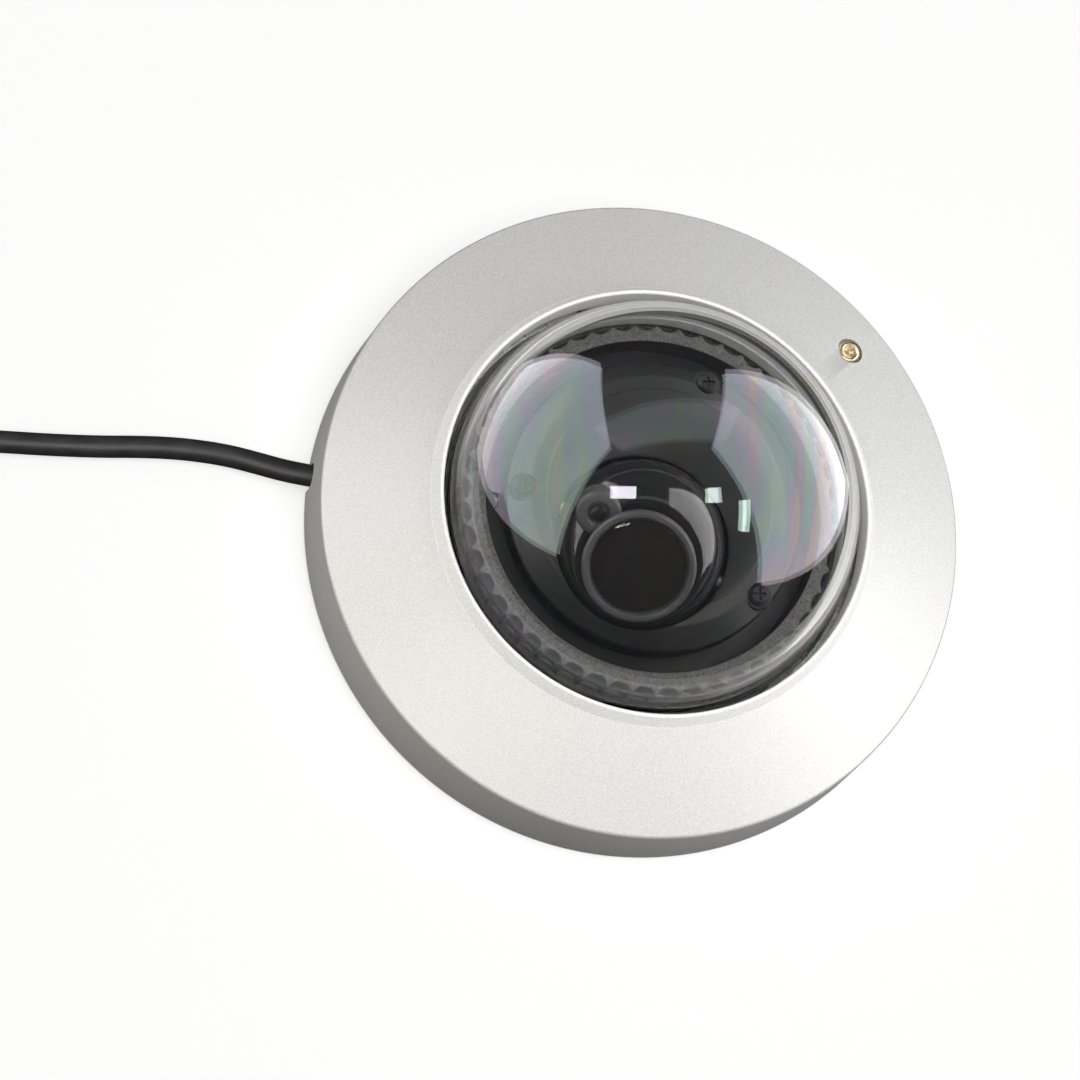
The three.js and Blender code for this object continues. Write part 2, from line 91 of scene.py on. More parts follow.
def rounded(corners, steps=5):
    """A closed outline from (a, b, fillet) corners, each corner turned into an arc of that radius."""
    outline = []
    count = len(corners)
    for i, corner in enumerate(corners):
        here = Vector(corner[:2])
        radius = corner[2] if len(corner) > 2 else 0
        if radius <= 0:
            outline.append(here)
            continue
        back = (Vector(corners[i - 1][:2]) - here)
        ahead = (Vector(corners[(i + 1) % count][:2]) - here)
        half = back.angle(ahead) / 2
        reach = min(radius / math.tan(half), back.length * 0.49, ahead.length * 0.49)
        radius = reach * math.tan(half)
        middle = here + (back.normalized() + ahead.normalized()).normalized() * (radius / math.sin(half))
        start = here + back.normalized() * reach - middle
        end = here + ahead.normalized() * reach - middle
        sweep = start.angle_signed(end)
        for k in range(steps + 1):
            turned = start.copy()
            turned.rotate(Matrix.Rotation(-sweep * k / steps, 2))
            outline.append(middle + turned)
    return outline


def build(name, bm, place, sharp=35.0):
    """Closes a bmesh into a smooth-shaded object put into the row frame."""
    bmesh.ops.remove_doubles(bm, verts=bm.verts, dist=1e-5)
    bmesh.ops.recalc_face_normals(bm, faces=bm.faces)
    mesh = bpy.data.meshes.new(name)
    bm.to_mesh(mesh)
    bm.free()
    mesh.transform(place)
    piece = bpy.data.objects.new(name, mesh)
    bpy.context.scene.collection.objects.link(piece)
    shade(mesh, sharp)
    return piece


def shade(mesh, sharp=35.0):
    """Smooth faces, with sharp edges where the surface turns more than the given angle."""
    bm = bmesh.new()
    bm.from_mesh(mesh)
    for face in bm.faces:
        face.smooth = True
    limit = math.radians(sharp)
    for edge in bm.edges:
        edge.smooth = len(edge.link_faces) == 2 and edge.calc_face_angle(0) < limit
    bm.to_mesh(mesh)
    bm.free()


def lathe(name, corners, place=ROOT_FRAME, segments=96, sharp=35.0, steps=5, at=(0, 0, 0)):
    """A solid of revolution about Z from a closed outline of (radius, z, fillet) corners."""
    outline = rounded(corners, steps)
    bm = bmesh.new()
    rings = []
    for r, z in outline:
        if r < 1e-6:
            rings.append([bm.verts.new((at[0], at[1], z + at[2]))] * segments)
            continue
        ring = []
        for i in range(segments):
            x, y = polar(r, 360 * i / segments)
            ring.append(bm.verts.new((x + at[0], y + at[1], z + at[2])))
        rings.append(ring)
    for ring, following in zip(rings, rings[1:] + rings[:1]):
        for i in range(segments):
            j = (i + 1) % segments
            corners4 = [ring[i], ring[j], following[j], following[i]]
            unique = list(dict.fromkeys(corners4))
            if len(unique) > 2:
                bm.faces.new(unique)
    return build(name, bm, place, sharp)


def prism(name, outline, z0, z1, place=ROOT_FRAME, bevel=0.0, sharp=35.0, segments=2):
    """An outline of (x, y) points pushed up from z0 to z1, with bevelled edges."""
    bm = bmesh.new()
    base = [bm.verts.new((x, y, z0)) for x, y in outline]
    face = bm.faces.new(base)
    top = bmesh.ops.extrude_face_region(bm, geom=[face])["geom"]
    lifted = [v for v in top if isinstance(v, bmesh.types.BMVert)]
    bmesh.ops.translate(bm, verts=lifted, vec=(0, 0, z1 - z0))
    bmesh.ops.recalc_face_normals(bm, faces=bm.faces)
    if bevel:
        rims = [e for e in bm.edges if e.calc_face_angle(0) > math.radians(sharp)]
        bmesh.ops.bevel(bm, geom=rims, offset=bevel, segments=segments, affect="EDGES", profile=0.5)
    return build(name, bm, place, sharp)


def block(name, size, centre, place=ROOT_FRAME, bevel=0.3, turn=0.0):
    """A box with rounded edges, turned about Z by the given degrees at its centre."""
    spin = Matrix.Translation(Vector(centre)) @ Matrix.Rotation(math.radians(turn), 4, "Z")
    w, d, h = (value / 2 for value in size)
    outline = [(-w, -d), (w, -d), (w, d), (-w, d)]
    return prism(name, outline, -h, h, place @ spin, bevel)


def pin(name, radius, z0, z1, at, place=ROOT_FRAME, segments=48, bevel=0.0):
    """A round bar along Z at (x, y)."""
    corners = [(0, z0), (radius, z0, bevel), (radius, z1, bevel), (0, z1)]
    return lathe(name, corners, place, segments, at=(at[0], at[1], 0))


def carve(piece, cutters, operation="DIFFERENCE", sharp=35.0):
    """Cuts the cutters out of the piece, or joins them to it, and removes them."""
    for cutter in cutters:
        modifier = piece.modifiers.new("carve", "BOOLEAN")
        modifier.operation = operation
        modifier.solver = "EXACT"
        modifier.object = cutter
    bpy.context.view_layer.update()
    graph = bpy.context.evaluated_depsgraph_get()
    mesh = bpy.data.meshes.new_from_object(piece.evaluated_get(graph))
    piece.modifiers.clear()
    piece.data = mesh
    for cutter in cutters:
        bpy.data.objects.remove(cutter)
    shade(mesh, sharp)
    return piece


def combine(name, pieces):
    """One object from several that touch nothing of each other's."""
    bm = bmesh.new()
    materials = []
    for piece in pieces:
        offset = len(materials)
        materials += list(piece.data.materials)
        start = len(bm.faces)
        bm.from_mesh(piece.data)
        bm.faces.ensure_lookup_table()
        for face in bm.faces[start:]:
            face.material_index += offset
        bpy.data.objects.remove(piece)
    mesh = bpy.data.meshes.new(name)
    bm.to_mesh(mesh)
    bm.free()
    for material in materials:
        mesh.materials.append(material)
    joined = bpy.data.objects.new(name, mesh)
    bpy.context.scene.collection.objects.link(joined)
    return joined


def dress(piece, material, body, slot, *nodes):
    """Gives a piece its material and its body, and hides the CAD nodes that it stands for. The slot
    argument is not used.
    """
    if material is not None:
        piece.data.materials.clear()
        piece.data.materials.append(material)
    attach(piece, body)
    if nodes:
        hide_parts(*nodes)
    return piece


# ---- materials ----------------------------------------------------------------------------------
class Finish:
    """A Principled material with a few procedural layers, all in object space."""

    def __init__(self, name, color, roughness, metallic=0.0, **sockets):
        self.material = bpy.data.materials.new(name)
        self.material.use_nodes = True
        self.tree = self.material.node_tree
        self.shader = self.tree.nodes["Principled BSDF"]
        self.color = (*color, 1.0)
        self.shader.inputs["Base Color"].default_value = self.color
        self.shader.inputs["Roughness"].default_value = roughness
        self.shader.inputs["Metallic"].default_value = metallic
        for socket, value in sockets.items():
            self.shader.inputs[socket.replace("_", " ")].default_value = value
        self.coords = self.tree.nodes.new("ShaderNodeTexCoord").outputs["Object"]
        self.normal = None

    def noise(self, scale, detail=3.0, roughness=0.6, stretch=None, distortion=0.0):
        vector = self.coords
        if stretch:
            mapping = self.tree.nodes.new("ShaderNodeMapping")
            mapping.inputs["Scale"].default_value = stretch
            self.tree.links.new(vector, mapping.inputs["Vector"])
            vector = mapping.outputs["Vector"]
        texture = self.tree.nodes.new("ShaderNodeTexNoise")
        texture.inputs["Scale"].default_value = scale
        texture.inputs["Detail"].default_value = detail
        texture.inputs["Roughness"].default_value = roughness
        texture.inputs["Distortion"].default_value = distortion
        self.tree.links.new(vector, texture.inputs["Vector"])
        return texture.outputs["Fac"]

    def cells(self, scale, feature="F1"):
        texture = self.tree.nodes.new("ShaderNodeTexVoronoi")
        texture.feature = feature
        texture.inputs["Scale"].default_value = scale
        self.tree.links.new(self.coords, texture.inputs["Vector"])
        return texture.outputs["Distance"]

    def spread(self, value, low, high, out_low, out_high):
        node = self.tree.nodes.new("ShaderNodeMapRange")
        node.inputs["From Min"].default_value = low
        node.inputs["From Max"].default_value = high
        node.inputs["To Min"].default_value = out_low
        node.inputs["To Max"].default_value = out_high
        self.tree.links.new(value, node.inputs["Value"])
        return node.outputs["Result"]

    def tint(self, value, dark, light, low=0.35, high=0.65):
        """Base colour running between two multiples of the finish's own colour."""
        ramp = self.tree.nodes.new("ShaderNodeMix")
        ramp.data_type = "RGBA"
        first = [s for s in ramp.inputs if s.type == "RGBA"]
        first[0].default_value = (*[c * dark for c in self.color[:3]], 1.0)
        first[1].default_value = (*[min(1.0, c * light) for c in self.color[:3]], 1.0)
        self.tree.links.new(self.spread(value, low, high, 0.0, 1.0), ramp.inputs[0])
        color = [s for s in ramp.outputs if s.type == "RGBA"][0]
        self.tree.links.new(color, self.shader.inputs["Base Color"])
        return self

    def gloss(self, value, low, high):
        """Roughness running between two values."""
        self.tree.links.new(self.spread(value, 0.3, 0.7, low, high), self.shader.inputs["Roughness"])
        return self

    def bump(self, value, strength, height):
        node = self.tree.nodes.new("ShaderNodeBump")
        node.inputs["Strength"].default_value = strength
        node.inputs["Distance"].default_value = height
        self.tree.links.new(value, node.inputs["Height"])
        if self.normal is not None:
            self.tree.links.new(self.normal, node.inputs["Normal"])
        self.normal = node.outputs["Normal"]
        self.tree.links.new(self.normal, self.shader.inputs["Normal"])
        return self


def silver_paint(name, color, metallic, rough=0.5):
    """Satin metallic paint: fine flake grain, faint orange peel."""
    f = Finish(name, color, rough, metallic=metallic)
    flakes = f.noise(2600, detail=3.0)
    f.tint(flakes, 0.9, 1.1)
    f.gloss(f.noise(2600, detail=2.0), rough - 0.08, rough + 0.08)
    f.bump(flakes, 0.2, 0.00003)
    return f.bump(f.noise(420, detail=2.0), 0.06, 0.00008).material


def clear_dome():
    """Polished polycarbonate with a hard coat whose thickness wanders, so its colours drift."""
    f = Finish("clear_dome", (1.0, 1.0, 1.0), 0.0, IOR=1.56)
    f.shader.inputs["Transmission Weight"].default_value = 1.0
    f.shader.inputs["Thin Film IOR"].default_value = 1.51
    drift = f.noise(30, detail=2.5, stretch=(2.4, 0.45, 0.8), distortion=2.2)
    f.tree.links.new(f.spread(drift, 0.3, 0.7, 430, 660), f.shader.inputs["Thin Film Thickness"])
    return f.material


def moulded(name, color, roughness, grain=1500, depth=0.00003, amount=0.25):
    """Moulded plastic with spark-eroded grain and slight wear of its sheen."""
    f = Finish(name, color, roughness)
    f.tint(f.noise(90, detail=4.0), 0.85, 1.2)
    f.gloss(f.noise(240, detail=4.0), roughness * 0.85, roughness * 1.2)
    return f.bump(f.noise(grain, detail=3.0), amount, depth).material


def grained_ring():
    """Coarse cast-looking grain on the hand grip."""
    f = Finish("grip_grey", (0.085, 0.085, 0.082), 0.55)
    grain = f.noise(2100, detail=4.0, roughness=0.75)
    f.tint(grain, 0.55, 1.9, 0.38, 0.66)
    f.gloss(f.noise(1400), 0.42, 0.7)
    return f.bump(grain, 0.7, 0.00009).material


def gloss_black():
    f = Finish("gloss_black", (0.006, 0.006, 0.007), 0.08, Coat_Weight=0.4, Coat_Roughness=0.03)
    f.gloss(f.noise(60, detail=5.0), 0.07, 0.12)
    return f.bump(f.noise(180, detail=2.0), 0.03, 0.00004).material


def coated_lens():
    """Dark multi-coated glass with a violet and green bloom."""
    f = Finish("lens_glass", (0.02, 0.016, 0.017), 0.02, IOR=1.4)
    f.shader.inputs["Transmission Weight"].default_value = 0.6
    f.shader.inputs["Thin Film IOR"].default_value = 1.38
    drift = f.noise(40, detail=1.0)
    f.tree.links.new(f.spread(drift, 0.3, 0.7, 210, 240), f.shader.inputs["Thin Film Thickness"])
    return f.material


def metal(name, color, roughness, scale=900, stretch=(1, 1, 9)):
    """Plated or machined metal with fine tool marks."""
    f = Finish(name, color, roughness, metallic=1.0)
    marks = f.noise(scale, detail=3.0, stretch=stretch)
    f.tint(f.noise(130, detail=4.0), 0.8, 1.12)
    f.gloss(marks, roughness * 0.7, roughness * 1.5)
    return f.bump(marks, 0.15, 0.00002).material


def cast_metal():
    """Die-cast zinc: pebbled skin with darker, flow-marked patches."""
    f = Finish("cast_metal", (0.42, 0.43, 0.43), 0.5, metallic=0.85)
    f.tint(f.noise(70, detail=6.0, distortion=0.8), 0.72, 1.18)
    f.gloss(f.noise(500, detail=3.0), 0.38, 0.62)
    return f.bump(f.noise(1300, detail=4.0), 0.4, 0.00005).material


def rubber():
    f = Finish("rubber", (0.016, 0.016, 0.017), 0.75, Sheen_Weight=0.15)
    f.tint(f.noise(150, detail=4.0), 0.7, 1.5)
    return f.bump(f.noise(900, detail=3.0), 0.25, 0.00004).material


def solder_mask():
    """Green lacquer over faint copper tracks."""
    f = Finish("board_green", (0.012, 0.12, 0.055), 0.32, Coat_Weight=0.3)
    tracks = f.tree.nodes.new("ShaderNodeTexBrick")
    tracks.inputs["Scale"].default_value = 260
    tracks.inputs["Mortar Size"].default_value = 0.03
    f.tree.links.new(f.coords, tracks.inputs["Vector"])
    f.tint(tracks.outputs["Fac"], 1.0, 1.7, 0.2, 0.8)
    return f.bump(tracks.outputs["Fac"], 0.2, 0.00003).material


def jacket():
    """Soft black PVC with the faint draw lines of its extrusion."""
    f = Finish("cable_jacket", (0.014, 0.014, 0.015), 0.42, Specular_IOR_Level=0.8)
    f.tint(f.noise(220, detail=4.0), 0.75, 1.4)
    f.gloss(f.noise(500, detail=3.0, stretch=(0.15, 1, 1)), 0.34, 0.52)
    return f.bump(f.noise(1400, detail=3.0), 0.12, 0.00003).material


def clear_plug():
    f = Finish("plug_clear", (0.86, 0.9, 0.92), 0.06, IOR=1.58)
    f.shader.inputs["Transmission Weight"].default_value = 0.9
    f.gloss(f.noise(300, detail=3.0), 0.03, 0.12)
    return f.bump(f.noise(160, detail=2.0), 0.06, 0.00005).material


def woven_tie():
    """Hook-and-loop strap: fine loop pile in rows."""
    f = Finish("tie_fabric", (0.02, 0.02, 0.021), 0.85, Sheen_Weight=0.4)
    loops = f.cells(1500)
    f.tint(loops, 0.6, 1.8, 0.1, 0.6)
    return f.bump(loops, 0.6, 0.0001).material


SILVER = silver_paint("silver_paint", (0.68, 0.68, 0.665), 0.32)
# The lip's paint is a lighter, matt copy of the silver paint: painted light for the bright band that the
# lighting puts round the lip.
LIP_PAINTED_HIGHLIGHT = silver_paint("silver_paint_lip_painted_highlight", (0.84, 0.84, 0.83), 0.0, 0.8)
DOME_CLEAR = clear_dome()
GRIP = grained_ring()
LINER_BLACK = moulded("liner_black", (0.012, 0.012, 0.0125), 0.4)
BLACK = moulded("black_plastic", (0.014, 0.014, 0.015), 0.42, grain=1900)
BEZEL_GREY = moulded("bezel_grey", (0.045, 0.045, 0.047), 0.38, grain=2400)
CHIP = moulded("chip_black", (0.02, 0.02, 0.022), 0.5, grain=2600, amount=0.35)
TURRET = gloss_black()
LENS = coated_lens()
GOLD = metal("gold_zinc", (0.80, 0.70, 0.48), 0.28)
STEEL = metal("zinc_steel", (0.66, 0.67, 0.68), 0.3)
DARK_SCREW = metal("black_oxide", (0.05, 0.05, 0.052), 0.4)
CAST = cast_metal()
RUBBER = rubber()
BOARD = solder_mask()
JACKET = jacket()
PLUG_CLEAR = clear_plug()
TIE = woven_tie()


# ---- camera, floor and lights -------------------------------------------------------------------
VIEW_TILT = math.radians(20.09)      # dome axis away from the line of sight
VIEW_TURN = math.radians(50.2)       # side towards which the dome axis leans in the picture, above right
VIEW_DISTANCE = 12 * SHOULDER_R * MM
LENS_MM = 131.1


def look():
    """Rotation from the row frame to the camera's own axes, and the camera's place."""
    lean = Vector((-math.sin(VIEW_TURN), math.cos(VIEW_TURN), 0))
    turn = Matrix.Rotation(VIEW_TILT, 3, lean)
    rim = Vector((0, 0, SHOULDER_Z * MM))
    rim_seen = Vector((0.319, 0.073, 0)) * SHOULDER_R * MM + Vector((0, 0, -VIEW_DISTANCE))
    return turn, turn.transposed() @ (turn @ rim - rim_seen)


TURN, CAMERA_AT = look()


def make_camera():
    data = bpy.data.cameras.new("camera")
    data.lens = LENS_MM
    data.sensor_width = 36.0
    camera = bpy.data.objects.new("camera", data)
    camera.matrix_world = Matrix.Translation(CAMERA_AT) @ TURN.transposed().to_4x4()
    bpy.context.scene.collection.objects.link(camera)
    bpy.context.scene.camera = camera


def panel(name, corner, first, second, radiance, color=(1.0, 1.0, 1.0), fill=False):
    """A rectangular light from a corner and its two neighbours, given in camera axes from the dome.

    A fill panel only brightens; the others are mirrored as well.
    """
    middle = (Vector(first) + Vector(second)) / 2
    across = Vector(first) - Vector(corner)
    up = Vector(second) - Vector(corner)
    normal = across.cross(up).normalized()
    if normal.dot(middle) < 0:
        normal = -normal
    side = across.normalized()
    data = bpy.data.lights.new(name, "AREA")
    data.shape = "RECTANGLE"
    data.size = across.length
    data.size_y = up.length
    data.energy = radiance * math.pi * across.length * up.length
    data.color = color
    light = bpy.data.objects.new(name, data)
    basis = Matrix((side, normal.cross(side), normal)).transposed()
    centre = Vector((0, 0, DOME_CENTRE * MM)) + TURN.transposed() @ middle
    light.matrix_world = Matrix.Translation(centre) @ (TURN.transposed() @ basis).to_4x4()
    light.visible_camera = False
    light.visible_glossy = not fill
    light.visible_transmission = not fill
    bpy.context.scene.collection.objects.link(light)
    return light


def facing(name, direction, distance, width, height, radiance, **options):
    """A rectangular light at a direction in camera axes, square on to the dome."""
    middle = Vector(direction).normalized() * distance
    side = Vector((0, 1, 0)).cross(middle).normalized() * width / 2
    up = middle.cross(side).normalized() * height / 2
    return panel(name, middle - side - up, middle + side - up, middle - side + up, radiance, **options)


def light_only(lights, pieces):
    """Keeps some lights to some pieces."""
    lit = bpy.data.collections.new("lit_by_" + lights[0].name)
    for piece in pieces:
        lit.objects.link(piece)
    for light in lights:
        light.light_linking.receiver_collection = lit


def make_stage():
    bm = bmesh.new()
    bmesh.ops.create_circle(bm, cap_ends=True, segments=64, radius=9)
    floor = build("floor", bm, Matrix.Identity(4))
    f = Finish("floor_paper", (0.93, 0.93, 0.925), 0.75)
    f.bump(f.noise(700, detail=3.0), 0.05, 0.0001)
    f.shader.inputs["Emission Color"].default_value = (1, 1, 1, 1)
    f.shader.inputs["Emission Strength"].default_value = 0.68
    floor.data.materials.append(f.material)
    floor.visible_glossy = False
    floor.visible_diffuse = False
    floor.visible_transmission = False
    facing("key", (0.35, 0.1, 0.93), 1.8, 1.2, 1.2, 2.0, fill=True)
    make_world()


def window_lights():
    """Windows and lamps mirrored in the dome and the pieces under it."""
    wall = 0.55
    warm = (1.0, 0.94, 0.84)
    return [
        panel("window_left", (-wall, 1.41 * wall, 2.19 * wall), (-wall, 2.94 * wall, 0),
              (-wall, -0.4 * wall, 0.58 * wall), 2.4),
        panel("window_right", (wall, 1.10 * wall, 1.17 * wall), (wall, 1.94 * wall, -0.3 * wall),
              (wall, -0.76 * wall, 0.5 * wall), 2.6),
        facing("lamp_left", (-0.27, 0.16, 0.95), 1.5, 0.36, 0.17, 12, color=warm),
        facing("lamp_right", (0.545, 0.13, 0.83), 1.5, 0.2, 0.2, 10, color=warm),
        facing("lamp_side", (0.78, -0.05, 0.625), 1.5, 0.12, 0.4, 10)]


def wall_light():
    """Dim wall mirrored in the dome alone, between the two windows."""
    return [panel("far_wall", (-0.43, 0.6, 0.93), (0.54, 0.6, 0.63), (-0.32, 0.6, 0.5), 0.65)]


def cover_lights():
    """Soft boxes for the painted cover, the lead and the base."""
    warm = (1.0, 0.9, 0.78)
    return [
        facing("box_front", (0.25, -0.08, 0.95), 1.3, 1.0, 1.0, 1.65),
        facing("box_right", (0.9, -0.1, 0.42), 1.3, 0.9, 0.9, 3.6),
        facing("box_left", (-0.7, 0.4, 0.6), 1.3, 0.8, 0.8, 2.8),
        facing("box_side", (-0.98, 0.2, 0.15), 1.3, 0.8, 0.5, 2.2),
        facing("box_upper", (0.75, 0.5, 0.4), 1.3, 0.8, 0.8, 1.9),
        facing("box_warm", (-0.4, -0.2, 0.89), 1.3, 0.5, 0.5, 4.6, color=warm)]


def make_world():
    world = bpy.data.worlds.new("studio")
    world.use_nodes = True
    nodes = world.node_tree.nodes
    links = world.node_tree.links
    seen = nodes.new("ShaderNodeBackground")
    seen.inputs["Color"].default_value = (0.95, 0.95, 0.95, 1)
    dim = nodes["Background"]
    up = nodes.new("ShaderNodeSeparateXYZ")
    links.new(nodes.new("ShaderNodeTexCoord").outputs["Generated"], up.inputs["Vector"])
    sky = nodes.new("ShaderNodeMapRange")
    sky.inputs["From Min"].default_value = -0.12
    sky.inputs["From Max"].default_value = 0.08
    sky.inputs["To Min"].default_value = 0.05
    sky.inputs["To Max"].default_value = 0.09
    links.new(up.outputs["Z"], sky.inputs["Value"])
    links.new(sky.outputs["Result"], dim.inputs["Strength"])
    dim.inputs["Color"].default_value = (1.0, 0.995, 0.98, 1)
    mix = nodes.new("ShaderNodeMixShader")
    path = nodes.new("ShaderNodeLightPath")
    links.new(path.outputs["Is Camera Ray"], mix.inputs["Fac"])
    links.new(dim.outputs["Background"], mix.inputs[1])
    links.new(seen.outputs["Background"], mix.inputs[2])
    links.new(mix.outputs["Shader"], nodes["World Output"].inputs["Surface"])
    bpy.context.scene.world = world
    bpy.context.scene.view_settings.view_transform = "Standard"


# ---- lead ---------------------------------------------------------------------------------------
CABLE_MM = 4.8
EXIT_Z = 4.6
REST_Z = 2.6
LEAD_START = [
    (-38.8, 5.8, EXIT_Z), (-48.4, 7.2, EXIT_Z), (-57.2, 8.5, EXIT_Z), (-64.5, 9.6, EXIT_Z),
    (-70.5, 10.6, 4.4), (-75.6, 11.8, 3.5), (-80.8, 13.3, 2.8), (-87.2, 14.8, REST_Z),
    (-93.9, 15.7, REST_Z), (-100.3, 16.1, REST_Z), (-107, 16.1, REST_Z), (-114, 15.9, REST_Z),
    (-124, 15.9, REST_Z), (-136, 16.2, REST_Z), (-148, 16.5, REST_Z), (-160.4, 16.5, REST_Z),
    (-171, 16.5, REST_Z)]
LEAD_TAIL = [
    (-209, -22, 7.3), (-209, -30, 7.1), (-209, -36.6, 5.8), (-209, -41, 4.6), (-208.8, -46, 3.2),
    (-208.4, -51, 2.7), (-208, -56, REST_Z), (-207.6, -62, REST_Z), (-207.5, -66, REST_Z)]
COIL_AT = (-180, -14.8)
COIL_RADII = (31.3, 26.5, 21.7, 24.1, 28.9)
COIL_TOP_Z = 7.3
COIL_TURNS = 4.25


def ease(value):
    value = min(1.0, max(0.0, value))
    return value * value * (3 - 2 * value)


def coil_points(per_turn=24):
    """Turns that step inwards on the floor, climb, and step outwards on top.

    Each step takes the last fifth of its turn.
    """
    points = []
    for i in range(1, round(COIL_TURNS * per_turn)):
        u = i / per_turn
        turn = min(int(u), 3)
        step = ease((u - turn - 0.8) / 0.2)
        radius = COIL_RADII[turn] + (COIL_RADII[turn + 1] - COIL_RADII[turn]) * step
        climb = 0.0 if turn < 2 else 1.0
        if turn == 2:
            climb = ease((u - 2.45) / 0.35)
            radius = 21.7 + 2.4 * ease((u - 2.6) / 0.25)
        x, y = polar(radius, 90 + 360 * u)
        points.append((COIL_AT[0] + x, COIL_AT[1] + y, REST_Z + (COIL_TOP_Z - REST_Z) * climb))
    return points


def make_cable():
    points = LEAD_START + coil_points() + LEAD_TAIL
    data = bpy.data.curves.new("lead", "CURVE")
    data.dimensions = "3D"
    data.bevel_depth = CABLE_MM * MM / 2
    data.bevel_resolution = 6
    data.resolution_u = 4
    data.use_fill_caps = True
    spline = data.splines.new("BEZIER")
    spline.bezier_points.add(len(points) - 1)
    for knot, point in zip(spline.bezier_points, points):
        knot.co = Vector(point) * MM
        knot.handle_left_type = knot.handle_right_type = "AUTO"
    data.materials.append(JACKET)
    cable = bpy.data.objects.new("lead", data)
    bpy.context.scene.collection.objects.link(cable)
    cable.visible_glossy = False         # keeps the lead's reflection out of the bubble
    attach(cable, "base")
    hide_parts("cable", "cable_coil", "cable_tail")
    return cable


def make_tie():
    """Strap folded over the coil, its ends tucked down beside it."""
    lo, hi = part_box("coil_tie")
    middle = (lo.y + hi.y) / 2 / MM
    x = (lo.x + hi.x) / 2 / MM
    half, top, thick = 8.0, 9.9, 0.7
    profile = [
        (-half - thick, 0.35), (-half, 0.35), (-half, top - 1.4, 1.6), (half, top - 1.4, 1.6),
        (half, 0.35), (half + thick, 0.35), (half + thick, top - 0.7, 2.2),
        (-half - thick, top - 0.7, 2.2)]
    outline = rounded(profile, 6)
    place = ROOT_FRAME @ Matrix.Translation((x, middle, 0)) @ Matrix.Rotation(math.radians(90), 4, "Z")
    place = place @ Matrix.Rotation(math.radians(90), 4, "X")
    return dress(prism("strap", outline, -3.6, 3.6, place, bevel=0.12), TIE, "base", "rubber", "coil_tie")


def make_plug():
    """Generic modular plug: clear shell, eight gilt contacts, sprung latch and ribbed boot."""
    body_lo, body_hi = (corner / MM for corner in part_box("plug_body"))
    latch_lo, latch_hi = (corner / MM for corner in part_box("plug_latch"))
    middle = (body_lo + body_hi) / 2
    size = body_hi - body_lo
    shell = block("plug_shell", size, middle, bevel=0.45)
    nose = body_lo.y
    slots = []
    contacts = []
    for i in range(8):
        x = middle.x - 3.57 + 1.02 * i
        slots.append(block("slot", (0.6, 7, 2.2), (x, nose + 3, body_lo.z + 0.6), bevel=0))
        contacts.append(block("contact", (0.36, 5.6, 2.6), (x, nose + 3.3, body_lo.z + 1.9), bevel=0.08))
    cavity = block("cavity", (7.4, 9, 4.6), (middle.x, body_hi.y - 3.5, middle.z), bevel=0.6)
    carve(shell, slots + [cavity])
    dress(shell, PLUG_CLEAR, "base", "plug_clear", "plug_body")
    contact_row = combine("plug_contacts", contacts)
    dress(contact_row, GOLD, "base", "gold_zinc")
    reach = latch_hi.y - latch_lo.y
    wedge = [(0, 0), (reach * 0.55, 0.0), (reach, 0.25), (reach, 1.1), (reach * 0.5, 1.1), (0, 0.85)]
    place = ROOT_FRAME @ Matrix.Translation(((latch_lo.x + latch_hi.x) / 2, latch_lo.y, latch_lo.z))
    place = place @ Matrix.Rotation(math.radians(90), 4, "Z") @ Matrix.Rotation(math.radians(90), 4, "X")
    latch = prism("plug_spring_latch", wedge, -2.6, 2.6, place, bevel=0.18)
    dress(latch, PLUG_CLEAR, "base", "plug_clear", "plug_latch")
    return [shell, contact_row, latch, make_boot()]


def make_boot():
    """Tapered boot with five grooves round it, nose towards the plug."""
    lo, hi = (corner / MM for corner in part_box("plug_boot"))
    length = hi.y - lo.y
    corners = [(2.45, 0), (3.1, 0, 0.3)]
    for i in range(5):
        s = 1.6 + i * 2.0
        corners += [(3.1 + 0.08 * s, s, 0.2), (2.75 + 0.08 * s, s + 0.35, 0.15),
                    (2.75 + 0.08 * s, s + 0.85, 0.15), (3.1 + 0.08 * s + 0.1, s + 1.2, 0.2)]
    corners += [(4.0, length, 0.3), (2.45, length)]
    place = ROOT_FRAME @ Matrix.Translation(((lo.x + hi.x) / 2, hi.y, 4.1))
    place = place @ Matrix.Rotation(math.radians(90), 4, "X")
    return dress(lathe("plug_sleeve", corners, place, 40), RUBBER, "base", "rubber", "plug_boot")


make_camera()
make_stage()
cable = make_cable()
tie = make_tie()
plug_pieces = make_plug()


# ---- cover and dome -----------------------------------------------------------------------------
def face_z(radius):
    return SHOULDER_Z + (SHOULDER_R - radius) * FACE_SLOPE


